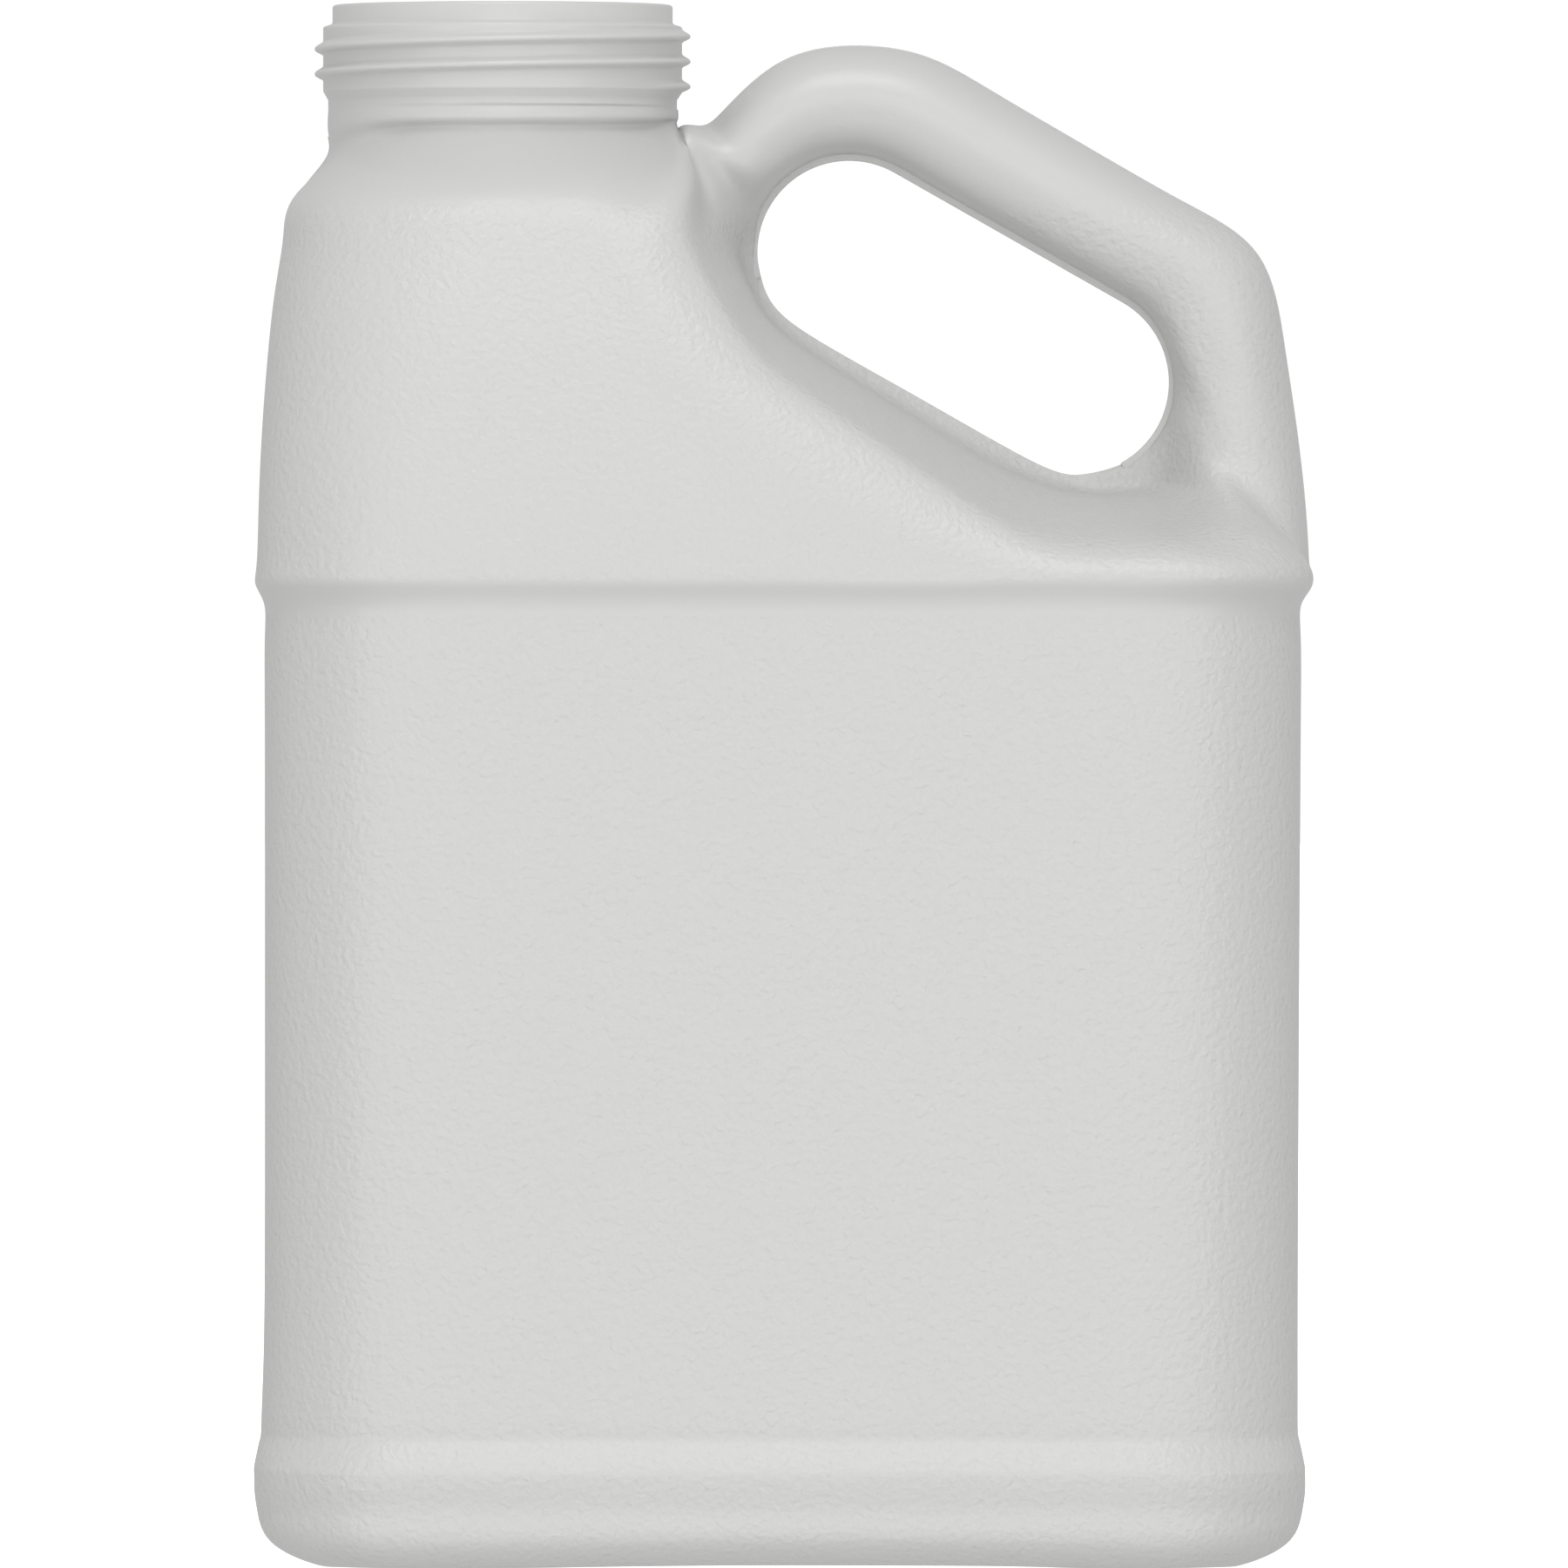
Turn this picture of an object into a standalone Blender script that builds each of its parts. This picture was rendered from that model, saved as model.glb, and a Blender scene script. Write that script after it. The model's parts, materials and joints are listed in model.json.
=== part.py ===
"""One-gallon f-style jug: an empty blow-moulded bottle with a wide screw neck at one side
and a hollow handle at the other. It is one hollow piece of natural polyethylene.

X runs across the jug, towards the handle, Y from front to back and Z up. The parting plane
of the mould is Y = 0, and the origin is on the floor in the middle of the base.
"""

import math

import bmesh
import bpy
import numpy as np

MM = 0.001

# Wall, in millimetres as all the sizes below
WALL = 1.2
SMOOTHING = 1

# Plan of the body, from the widest row down: height, left edge, right edge, half depth
CORNER_R = 26.0
BELT_Z = 165.2
BODY_ROWS = (
    (BELT_Z, -86.8, 86.9, 62.0),
    (161.4, -86.9, 86.9, 62.0),
    (158.2, -85.5, 85.1, 60.6),
    (152.5, -85.4, 85.0, 60.5),
    (138.0, -85.4, 85.0, 60.5),
    (106.0, -85.4, 84.8, 60.5),
    (68.0, -85.4, 84.6, 60.5),
    (41.0, -85.5, 84.5, 60.5),
    (28.5, -85.8, 84.5, 60.5),
    (22.5, -86.1, 84.5, 60.6),
    (19.2, -86.7, 85.1, 61.3),
    (15.8, -87.1, 85.7, 62.0),
    (10.8, -87.0, 85.6, 62.0),
)

# How far the top of the belt is rounded in, column by column from the left edge
BELT_INSET = (0.1, 0.1, 0.1, 0.1, 0.1, 0.1, 0.1, 0.1, 0.2, 0.4, 0.8, 1.1, 1.1, 1.1, 1.0, 0.5, 0.0)

# Base: the rounded bottom edge, the flat ring the jug stands on and the pushed-up middle.
# Each row is an inset and a height; the corners lose a share of the inset from their radius.
BASE_R = 11.5
BASE_ROWS = ((3.1, 3.4), (11.0, 0.0), (15.5, 0.0), (20.5, 0.0), (29.0, 0.9))
BASE_CORNER_SHARE = 0.8
BASE_RISE = 1.3
BASE_MIDDLE_REACH = 0.72
STANDING_ROWS = (1, 2, 3)

# Columns of the cage: steps along half a side, round a corner and along the front
SIDE_STEPS = 2
CORNER_STEPS = 3
FRONT_X = (-38.0, -16.0, 4.0, 24.0, 43.3)

# Shoulder: height and x at the left edge and at the edge of the hand hollow, row by row
SHOULDER_ROWS = (
    (175.5, -86.4, 173.6, 28.2),
    (189.0, -85.8, 184.3, 13.4),
    (201.0, -84.9, 195.2, -2.0),
    (211.0, -83.8, 204.9, -10.3),
    (219.0, -82.6, 216.6, -16.4),
    (226.3, -80.3, 228.0, -15.6),
)
SHOULDER_SWEEP = 1.5

# Half depth of the shoulder by height: it leans back more and more and breaks under the neck
SHOULDER_DEPTHS = (
    (165.2, 62.0),
    (180.0, 59.3),
    (200.0, 54.2),
    (212.0, 50.2),
    (219.0, 47.4),
    (226.5, 42.6),
    (236.5, 29.1),
)
SHOULDER_TOP_Z = 236.5
HOLLOW_EDGE_DROP = 2.6
LAST_ROW_DROP = (0.0, 0.0, 0.3, 2.2, 7.0, 15.0)

# Neck, and how far in and up its hollow ends below the bore
NECK_X = -46.65
NECK_R = 28.9
NECK_FOOT_R = 29.1
NECK_BASE_Z = 234.6
NECK_BASE_LEAN = 0.088
NECK_ANGLES = (180, 198, 214, 228, 242, 256, 272, 290, 310, 334, 360)
NECK_ROWS = (239.3, 246.0)
NECK_HOLLOW_SHARE = 0.915
NECK_HOLLOW_RISE = 2.0

# Hand hole: a slot with round ends, between two centres (x, z)
HOLE_LEFT = (10.8, 216.7)
HOLE_RIGHT = (48.6, 195.2)
HOLE_R = 15.2
HOLE_SLANT = 60.0

# Where the cage's lines start round the hole, in turn: angles under the right end, at its
# right and over the left end, and parts of the way along the straight top and bottom
UNDER_PART = 0.86
UNDER_ANGLES = (257, 277, 296, 314, 331, 348)
RIGHT_ANGLES = (4, 19, 35, 50)
TOP_PARTS = (0.08, 0.46, 0.84)
LEFT_ANGLES = (68, 92, 114, 134, 147)
LEFT_SIDE_ANGLES = (158, 168, 180, 200, 220)
BOTTOM_PARTS = (0.08, 0.46)

# How far the lines under the hole and at its left run as the handle's (1) or the hollow's (0)
UNDER_SHARES = (0.0, 0.0, 0.05, 0.2, 0.5, 0.8, 1.0)
LEFT_SHARES = (1.0, 0.6, 0.12, 0.0, 0.0, 0.0, 0.0)

# Handle: its outer edge (x, z) from the belt up and over to the neck, and its half depth
HANDLE_EDGE = (
    (86.4, 173.5),
    (85.0, 186.5),
    (82.8, 201.5),
    (78.5, 216.2),
    (66.0, 225.1),
    (49.5, 234.5),
    (34.5, 243.3),
    (22.5, 249.4),
    (9.5, 250.8),
    (-1.5, 247.6),
    (-9.6, 240.5),
    (-13.6, 237.6),
)
HANDLE_HALF_DEPTH = 13.6
RING_STEPS = 5

# Section of the hand hollow, from the hole to its edge: part of the way and part of the depth
HOLLOW_ACROSS = (0.0, 0.18, 0.28, 0.46, 0.7, 1.0)
HOLLOW_DEPTH = (0.0, 0.025, 0.15, 0.45, 0.83, 1.0)

# Roots of the handle, where it flares into the belt and into the shoulder: the first line of
# each, and line by line the half depths from the hole outwards
RIGHT_ROOT_LINE = 3
RIGHT_ROOT_DEPTHS = (
    (2.4, 9.5, 29.0, 46.5),
    (4.1, 11.0, 26.0, 37.0),
    (6.5, 12.5, 20.0, 24.5),
    (8.0, 12.8, 15.5, 16.0),
    (8.0, 13.2, 14.0, 10.0),
)
LEFT_ROOT_LINE = 18
LEFT_ROOT_DEPTHS = (
    (8.0, 13.2, 13.6, 9.0),
    (7.0, 12.5, 14.6, 12.0),
    (5.0, 11.0, 17.5, 21.5),
    (2.5, 8.0, 21.5, 37.5),
)

# Where the first two rings inside the wall lie in the hollow, as parts of the third one's depth
WEB_DEPTHS = (0.0, 0.5)

# Screw finish on the neck: outline (radius, height) and one thread
FINISH_PROFILE = (
    (0.0, 257.7),
    (27.7, 257.7),
    (28.1, 257.3),
    (28.1, 254.4),
    (29.7, 253.9),
    (29.7, 243.9),
    (28.2, 242.2),
    (28.2, 240.5),
    (0.0, 240.5),
)
FINISH_STEPS = 48
BORE_R = 26.8
BORE_Z = (245.0, 262.0)
THREAD_PITCH = 4.15
THREAD_START_Z = 244.2
THREAD_TURNS = (-42, 768)
THREAD_STEP = 15
THREAD_FADE = 30
THREAD_END_SHARE = 0.15
THREAD_LEAST_SHARE = 0.35
THREAD_PROFILE = ((29.3, -1.6), (31.15, -0.75), (31.15, 0.45), (29.3, 1.7))

JUG_GREY = (0.62, 0.62, 0.62, 1.0)


def clear_scene():
    """Remove everything the scene starts with."""
    for obj in list(bpy.data.objects):
        bpy.data.objects.remove(obj, do_unlink=True)


def new_collection(name):
    """A new collection, linked to the scene."""
    collection = bpy.data.collections.new(name)
    bpy.context.scene.collection.children.link(collection)
    return collection


def new_object(name, points, edges, faces, collection):
    """An object from points in millimetres, edges and faces."""
    mesh = bpy.data.meshes.new(name)
    mesh.from_pydata([tuple(c * MM for c in p) for p in points], edges, faces)
    mesh.update()
    obj = bpy.data.objects.new(name, mesh)
    collection.objects.link(obj)
    return obj


def polyethylene():
    """Natural, unpigmented polyethylene: a milky light grey with a satin skin."""
    material = bpy.data.materials.new("natural_polyethylene")
    material.use_nodes = True
    shader = material.node_tree.nodes["Principled BSDF"]
    shader.inputs["Base Color"].default_value = JUG_GREY
    shader.inputs["Roughness"].default_value = 0.45
    shader.inputs["Metallic"].default_value = 0.0
    return material


def corner(centre_x, centre_y, radius, start, end, steps):
    """Points of an arc in plan, both ends included."""
    angles = np.radians(np.linspace(start, end, steps + 1))
    return [(centre_x + radius * math.cos(a), centre_y + radius * math.sin(a)) for a in angles]


def half_plan(left, right, depth, radius):
    """Half a rounded rectangle, from the left edge round the front to the right edge."""
    straight = depth - radius
    side = [(left, -straight * i / SIDE_STEPS) for i in range(SIDE_STEPS)]
    left_corner = corner(left + radius, -straight, radius, 180, 270, CORNER_STEPS)
    right_corner = corner(right - radius, -straight, radius, 270, 360, CORNER_STEPS)
    start, end = left + radius, right - radius
    full = BODY_ROWS[0][1] + CORNER_R, BODY_ROWS[0][2] - CORNER_R
    stretch = (end - start) / (full[1] - full[0])
    front = [(start + (x - full[0]) * stretch, -depth) for x in FRONT_X]
    far_side = [(right, -straight * i / SIDE_STEPS) for i in reversed(range(SIDE_STEPS))]
    return side + left_corner + front + right_corner + far_side


def body_rows():
    """Rows of the cage from the belt down to the middle of the base."""
    rows = []
    for z, left, right, depth in BODY_ROWS:
        rows.append([(x, y, z) for x, y in half_plan(left, right, depth, CORNER_R)])
    _, left, right, depth = BODY_ROWS[0]
    for i, inset in enumerate(BELT_INSET):
        plan = half_plan(left + inset, right - inset, depth - inset, CORNER_R - inset)
        rows[0][i] = (*plan[i], BELT_Z)
    _, left, right, depth = BODY_ROWS[-1]
    for inset, z in BASE_ROWS:
        radius = CORNER_R - BASE_CORNER_SHARE * min(inset, BASE_R)
        plan = half_plan(left + inset, right - inset, depth - inset, radius)
        rows.append([(x, y, z) for x, y in plan])
    start, end = (rows[-1][i][0] * BASE_MIDDLE_REACH for i in (0, -1))
    spread = np.linspace(start, end, len(rows[-1]))
    return rows + [[(x, 0.0, BASE_RISE) for x in spread]]


def shoulder_depth(z):
    """Half depth of the shoulder at a height."""
    heights, depths = zip(*SHOULDER_DEPTHS)
    return float(np.interp(z, heights, depths))


def shoulder_radius(z):
    """Radius of the shoulder's left corner, which turns into the neck's."""
    rise = min(max((z - BELT_Z) / (SHOULDER_TOP_Z - BELT_Z), 0.0), 1.0)
    return CORNER_R + (NECK_R - CORNER_R) * rise


def shoulder_row(z_left, x_left, z_edge, x_edge, last):
    """One row over the shoulder, from the left edge to the edge of the hand hollow."""
    count = SIDE_STEPS + CORNER_STEPS + len(FRONT_X)
    row = []
    for i in range(count + 1):
        part = i / count
        z = z_left + (z_edge - z_left) * part**SHOULDER_SWEEP
        depth, radius = shoulder_depth(z), shoulder_radius(z)
        straight = max(depth - radius, 0.0)
        if i <= SIDE_STEPS:
            x, y = x_left, -straight * i / SIDE_STEPS
        elif i <= SIDE_STEPS + CORNER_STEPS:
            turn = math.pi / 2 * (i - SIDE_STEPS) / CORNER_STEPS
            x = x_left + radius * (1 - math.cos(turn))
            y = -straight - radius * math.sin(turn)
        else:
            along = i - SIDE_STEPS - CORNER_STEPS
            start = x_left + radius
            first = BODY_ROWS[0][1] + CORNER_R
            x = start + (FRONT_X[along - 1] - first) / (FRONT_X[-1] - first) * (x_edge - start)
            y = -depth + (LAST_ROW_DROP[along] if last else 0.0)
        row.append((x, y, z))
    if not last:
        x, y, z = row[-1]
        row[-1] = (x, y + HOLLOW_EDGE_DROP, z)
    return row


def neck_row(radius, z=None):
    """Half circle round the neck, at one height or along its leaning foot."""
    row = []
    for angle in NECK_ANGLES:
        x = NECK_X + radius * math.cos(math.radians(angle))
        y = radius * math.sin(math.radians(angle))
        if angle in (180, 360):
            y = 0.0
        height = NECK_BASE_Z + NECK_BASE_LEAN * (x - NECK_X) if z is None else z
        row.append((x, y, height))
    return row


def shoulder_rows():
    """Rows of the cage from just above the belt to the top of the neck."""
    rows = []
    for i, sizes in enumerate(SHOULDER_ROWS):
        rows.append(shoulder_row(*sizes, last=i == len(SHOULDER_ROWS) - 1))
    return rows + [neck_row(NECK_FOOT_R)] + [neck_row(NECK_R, z) for z in NECK_ROWS]


def hole_point(centre, angle):
    """Point on a round end of the hand hole."""
    turn = math.radians(angle)
    return centre[0] + HOLE_R * math.cos(turn), centre[1] + HOLE_R * math.sin(turn)


def between(a, b, part):
    """Point between two points in the parting plane."""
    return a[0] + (b[0] - a[0]) * part, a[1] + (b[1] - a[1]) * part


def hole_points():
    """Points round the hand hole, one for each line of the cage that starts there.

    They begin under the hole, at the corner of the front panel, and run below the hole to
    the right, over its top and down its left and lower sides.
    """
    low_right = hole_point(HOLE_RIGHT, HOLE_SLANT + 180)
    low_left = hole_point(HOLE_LEFT, HOLE_SLANT + 180)
    high_right = hole_point(HOLE_RIGHT, HOLE_SLANT)
    high_left = hole_point(HOLE_LEFT, HOLE_SLANT)
    right = [hole_point(HOLE_RIGHT, angle) for angle in UNDER_ANGLES + RIGHT_ANGLES]
    top = [between(high_right, high_left, part) for part in TOP_PARTS]
    left = [hole_point(HOLE_LEFT, angle) for angle in LEFT_ANGLES + LEFT_SIDE_ANGLES]
    bottom = [between(low_left, low_right, part) for part in BOTTOM_PARTS]
    return [between(low_left, low_right, UNDER_PART)] + right + top + left + bottom


def handle_lines(edge_points):
    """Lines from the hand hole out to the edge points, over the handle or up the hollow.

    Gives the lines, and how far each one belongs to the handle.
    """
    shares = UNDER_SHARES + (1.0,) * len(HANDLE_EDGE) + LEFT_SHARES
    roots = dict(enumerate(RIGHT_ROOT_DEPTHS, RIGHT_ROOT_LINE))
    roots.update(enumerate(LEFT_ROOT_DEPTHS, LEFT_ROOT_LINE))
    lines = []
    for number, (hole_x, hole_z) in enumerate(hole_points()):
        x, y, z = edge_points[number]
        share = shares[number]
        line = [(hole_x, 0.0, hole_z)]
        for k in range(1, RING_STEPS):
            turn = math.pi * k / RING_STEPS
            part = share * (1 - math.cos(turn)) / 2 + (1 - share) * HOLLOW_ACROSS[k]
            depth = share * HANDLE_HALF_DEPTH * math.sin(turn) - y * HOLLOW_DEPTH[k]
            if number in roots:
                depth = roots[number][k - 1]
            line.append((hole_x + (x - hole_x) * part, -depth, hole_z + (z - hole_z) * part))
        lines.append(line + [(x, y, z)])
    return lines, shares


class Cage:
    """Points and faces of the jug's front half, and their mirror image behind."""

    def __init__(self):
        self.points = []
        self.faces = []
        self.flat = []

    def add(self, point):
        """Keep a point and give its number."""
        self.points.append(point)
        return len(self.points) - 1

    def strip(self, near, far):
        """Faces between two rows of points."""
        for i in range(len(near) - 1):
            self.faces.append((near[i], far[i], far[i + 1], near[i + 1]))

    def mirrored(self):
        """All points and faces, with the back half added and the middle shared."""
        points = list(self.points)
        partner = []
        for i, (x, y, z) in enumerate(self.points):
            if y == 0.0:
                partner.append(i)
            else:
                partner.append(len(points))
                points.append((x, -y, z))
        back = [tuple(partner[i] for i in reversed(face)) for face in self.faces]
        return np.array(points), self.faces + back, partner


def jug_cage():
    """The cage of the jug's outside: its points lie on the surface.

    Gives the cage, the rings of points round the hand hole and their handle shares, and
    the row round the top of the neck.
    """
    cage = Cage()
    lower = [[cage.add(p) for p in row] for row in body_rows()]
    cage.flat = [i for k in STANDING_ROWS for i in lower[len(BODY_ROWS) + k]]
    upper = [[cage.add(p) for p in row] for row in shoulder_rows()]
    for near, far in zip(lower, lower[1:]):
        cage.strip(near, far)
    panel = SIDE_STEPS + CORNER_STEPS + len(FRONT_X)
    belt = lower[0]
    stack = [belt[: panel + 1]] + upper
    for near, far in zip(stack, stack[1:]):
        cage.strip(far, near)

    outline = [cage.add((x, 0.0, z)) for x, z in HANDLE_EDGE]
    foot = len(SHOULDER_ROWS)
    edge = belt[panel:] + outline + [row[-1] for row in reversed(upper[: foot + 1])]
    lines, shares = handle_lines([cage.points[i] for i in edge])
    rings = [[cage.add(line[k]) for line in lines] for k in range(RING_STEPS)] + [edge]
    for near, far in zip(rings, rings[1:]):
        cage.strip(near + near[:1], far + far[:1])
    return cage, rings, shares, upper[-1]


def closed_top(faces, front_row, partner):
    """Faces with a lid on the neck, and the edges round that lid."""
    back_row = [partner[i] for i in reversed(front_row)][1:-1]
    loop = front_row + back_row
    return faces + [tuple(loop)], loop


def smooth_control(points, faces, rim):
    """Control points whose Catmull-Clark surface passes through the given points."""
    count = len(points)
    edges = [set() for _ in range(count)]
    across = [[] for _ in range(count)]
    for face in faces:
        size = len(face)
        if size != 4:
            continue
        for k, i in enumerate(face):
            edges[i].add(face[(k + 1) % size])
            edges[i].add(face[(k - 1) % size])
            across[i].append(face[(k + 2) % size])
    system = np.zeros((count, count))
    for i in range(count):
        valence = len(edges[i])
        scale = valence * (valence + 5)
        system[i, i] = valence**2 / scale
        for j in edges[i]:
            system[i, j] += 4 / scale
        for j in across[i]:
            system[i, j] += 1 / scale
    for k, i in enumerate(rim):
        system[i] = 0
        system[i, i] = 4 / 6
        system[i, rim[k - 1]] = 1 / 6
        system[i, rim[(k + 1) % len(rim)]] = 1 / 6
    return np.linalg.solve(system, points)


def outside(collection):
    """The jug's outer form, as a solid with a flat lid on its neck."""
    cage, _, _, top = jug_cage()
    points, faces, partner = cage.mirrored()
    faces, rim = closed_top(faces, top, partner)
    control = smooth_control(points, faces, rim)
    for i in cage.flat:
        control[i][2] = control[partner[i]][2] = 0.0
    jug = new_object("jug", control, [], faces, collection)
    crease = jug.data.attributes.new("crease_edge", "FLOAT", "EDGE")
    on_rim = set(rim)
    for edge in jug.data.edges:
        if set(edge.vertices) <= on_rim:
            crease.data[edge.index].value = 1.0
    smooth = jug.modifiers.new("smooth", "SUBSURF")
    smooth.levels = SMOOTHING
    smooth.render_levels = SMOOTHING
    return jug


def inside(collection):
    """The jug's hollow, one wall inside its outer form, as a cutter."""
    cage, rings, shares, top = jug_cage()
    points, faces, partner = cage.mirrored()
    faces, _ = closed_top(faces, top, partner)
    shell = new_object("hollow", points, [], faces, collection)
    normals = np.array([v.normal for v in shell.data.vertices])
    inner = points - WALL * normals
    for k, share in enumerate(shares):
        anchor = inner[rings[len(WEB_DEPTHS)][k]]
        for ring, depth in zip(rings, WEB_DEPTHS):
            goal = anchor * (1.0, depth, 1.0)
            inner[ring[k]] = inner[ring[k]] * share + goal * (1.0 - share)
    for i in top:
        x, y, z = points[i]
        across = NECK_X + (x - NECK_X) * NECK_HOLLOW_SHARE
        inner[i] = (across, y * NECK_HOLLOW_SHARE, z + NECK_HOLLOW_RISE)
    for i, j in enumerate(partner):
        inner[j] = inner[i] * (1, -1, 1)
        if i == j:
            inner[i][1] = 0.0
    for i, vertex in enumerate(shell.data.vertices):
        vertex.co = inner[i] * MM
    shell.data.update()
    as_cutter(shell)
    return shell


def as_cutter(obj):
    """Keep an object out of renders and show it as wire."""
    obj.hide_render = True
    obj.display_type = "WIRE"


def turned(name, profile, collection):
    """A solid turned round the neck's axis from a profile of radius and height."""
    points = [(r, 0.0, z) for r, z in profile]
    links = [(i, i + 1) for i in range(len(profile) - 1)]
    obj = new_object(name, points, links, [], collection)
    obj.location.x = NECK_X * MM
    spin = obj.modifiers.new("turn", "SCREW")
    spin.steps = FINISH_STEPS
    spin.render_steps = FINISH_STEPS
    spin.use_merge_vertices = True
    spin.merge_threshold = 0.00005
    as_cutter(obj)
    return obj


def thread(collection):
    """The screw thread: one right-handed ridge that fades in and out."""
    start, end = THREAD_TURNS
    steps = round((end - start) / THREAD_STEP)
    root = THREAD_PROFILE[0][0]
    rings, points = [], []
    for i in range(steps + 1):
        angle = start + (end - start) * i / steps
        turn = math.radians(angle)
        rise = THREAD_START_Z + THREAD_PITCH * angle / 360
        fade = min(1.0, min(angle - start, end - angle) / THREAD_FADE + THREAD_END_SHARE)
        ring = []
        for radius, height in THREAD_PROFILE:
            grown = root + (radius - root) * max(fade, THREAD_LEAST_SHARE)
            ring.append(len(points))
            points.append((NECK_X + grown * math.cos(turn), grown * math.sin(turn), rise + height * fade))
        rings.append(ring)
    faces = []
    for near, far in zip(rings, rings[1:]):
        for k in range(len(near)):
            m = (k + 1) % len(near)
            faces.append((near[k], far[k], far[m], near[m]))
    faces.append(tuple(rings[0]))
    faces.append(tuple(reversed(rings[-1])))
    ridge = new_object("thread", points, [], faces, collection)
    outward = bmesh.new()
    outward.from_mesh(ridge.data)
    bmesh.ops.recalc_face_normals(outward, faces=outward.faces)
    outward.to_mesh(ridge.data)
    outward.free()
    as_cutter(ridge)
    return ridge


def boolean(obj, other, operation):
    """Join or cut with another object."""
    modifier = obj.modifiers.new(f"{operation.lower()}_{other.name}", "BOOLEAN")
    modifier.operation = operation
    modifier.object = other
    modifier.solver = "EXACT"


def main():
    """Build the jug."""
    clear_scene()
    parts = new_collection("f_style_jug")
    cutters = new_collection("cutters")
    jug = outside(parts)
    jug.data.materials.append(polyethylene())
    boolean(jug, turned("finish", FINISH_PROFILE, cutters), "UNION")
    boolean(jug, thread(cutters), "UNION")
    boolean(jug, inside(cutters), "DIFFERENCE")
    bore = ((0.0, BORE_Z[1]), (BORE_R, BORE_Z[1]), (BORE_R, BORE_Z[0]), (0.0, BORE_Z[0]))
    boolean(jug, turned("bore", bore, cutters), "DIFFERENCE")
    jug.data.shade_smooth()


main()
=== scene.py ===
"""Looks of an empty one-gallon f-style jug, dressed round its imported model.

The jug is blow moulded in one piece of natural polyethylene. The skin made here stands for
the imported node: it is the same form with a finer surface, a rounded screw thread and the
marks that the mould leaves. All sizes are in millimetres unless a docstring says otherwise.
The jug stands on z = 0, its front looks along -y, and the mould parts in the plane y = 0.
"""

import json
import logging
import math
from collections.abc import Callable, Iterator, Sequence
from contextlib import contextmanager
from dataclasses import dataclass
from enum import Enum

import bmesh
import bpy
import numpy as np
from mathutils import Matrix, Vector

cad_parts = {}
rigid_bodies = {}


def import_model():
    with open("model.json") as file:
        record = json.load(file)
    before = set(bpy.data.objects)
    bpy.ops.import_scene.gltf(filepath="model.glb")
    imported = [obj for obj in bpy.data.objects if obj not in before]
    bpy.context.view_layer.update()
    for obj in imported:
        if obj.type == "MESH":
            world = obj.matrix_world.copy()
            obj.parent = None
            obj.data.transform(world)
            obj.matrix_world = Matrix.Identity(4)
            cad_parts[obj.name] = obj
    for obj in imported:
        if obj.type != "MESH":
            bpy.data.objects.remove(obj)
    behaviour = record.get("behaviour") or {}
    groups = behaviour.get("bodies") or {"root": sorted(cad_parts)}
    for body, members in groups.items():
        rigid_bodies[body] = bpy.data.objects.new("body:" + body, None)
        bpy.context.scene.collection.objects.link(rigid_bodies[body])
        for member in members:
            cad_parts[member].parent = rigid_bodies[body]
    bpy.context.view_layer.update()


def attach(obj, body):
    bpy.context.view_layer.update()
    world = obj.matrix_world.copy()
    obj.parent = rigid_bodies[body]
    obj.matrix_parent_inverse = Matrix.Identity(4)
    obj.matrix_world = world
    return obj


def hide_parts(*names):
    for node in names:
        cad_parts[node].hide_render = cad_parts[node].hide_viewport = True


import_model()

LOG = logging.getLogger("jug")
MM = 0.001
BODY = "root"
NODE = "jug"
SAME_PLACE = 1e-6

Point = tuple[float, float, float]
Flat = tuple[float, float]


class Axis(Enum):
    """The axes of a light: the one along which it shines, and its upright one."""

    FORWARD = "-Z"
    UP = "Y"


def linear(code: str) -> tuple[float, float, float, float]:
    """Turn an sRGB colour into the linear one that shaders take.

    Args:
        code: Six hex digits after a hash.

    Returns:
        Red, green, blue and alpha.
    """
    parts = [int(code[i : i + 2], 16) / 255 for i in (1, 3, 5)]
    red, green, blue = (p / 12.92 if p <= 0.04045 else ((p + 0.055) / 1.055) ** 2.4 for p in parts)
    return red, green, blue, 1.0


def add_node(tree: bpy.types.NodeTree, kind: str, settings: dict, links: dict) -> bpy.types.Node:
    """Add a shader node.

    Args:
        tree: The material's node tree.
        kind: The node's type name.
        settings: Values by name, of the node's own properties or of its input sockets.
        links: Output sockets by the name or number of the input they feed.

    Returns:
        The new node.
    """
    node = tree.nodes.new(kind)
    for name, value in settings.items():
        if name in node.bl_rna.properties:
            setattr(node, name, value)
        else:
            node.inputs[name].default_value = value
    for name, socket in links.items():
        tree.links.new(socket, node.inputs[name])
    return node


def smooth_step(start: float, end: float, value: np.ndarray) -> np.ndarray:
    """Rise smoothly from 0 at the start to 1 at the end."""
    part = np.clip((value - start) / (end - start), 0.0, 1.0)
    return part * part * (3.0 - 2.0 * part)


def only(obj: bpy.types.Object) -> None:
    """Select one object and make it the active one."""
    for other in bpy.context.view_layer.objects:
        other.select_set(False)
    obj.select_set(True)
    bpy.context.view_layer.objects.active = obj


@contextmanager
def editing(obj: bpy.types.Object, mode: str = "VERT") -> Iterator[None]:
    """Hold an object in edit mode with nothing selected.

    Args:
        obj: The object.
        mode: VERT, EDGE or FACE, what selecting picks.
    """
    only(obj)
    bpy.ops.object.mode_set(mode="EDIT")
    bpy.ops.mesh.select_mode(type=mode)
    bpy.ops.mesh.select_all(action="DESELECT")
    yield
    bpy.ops.object.mode_set(mode="OBJECT")


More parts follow.
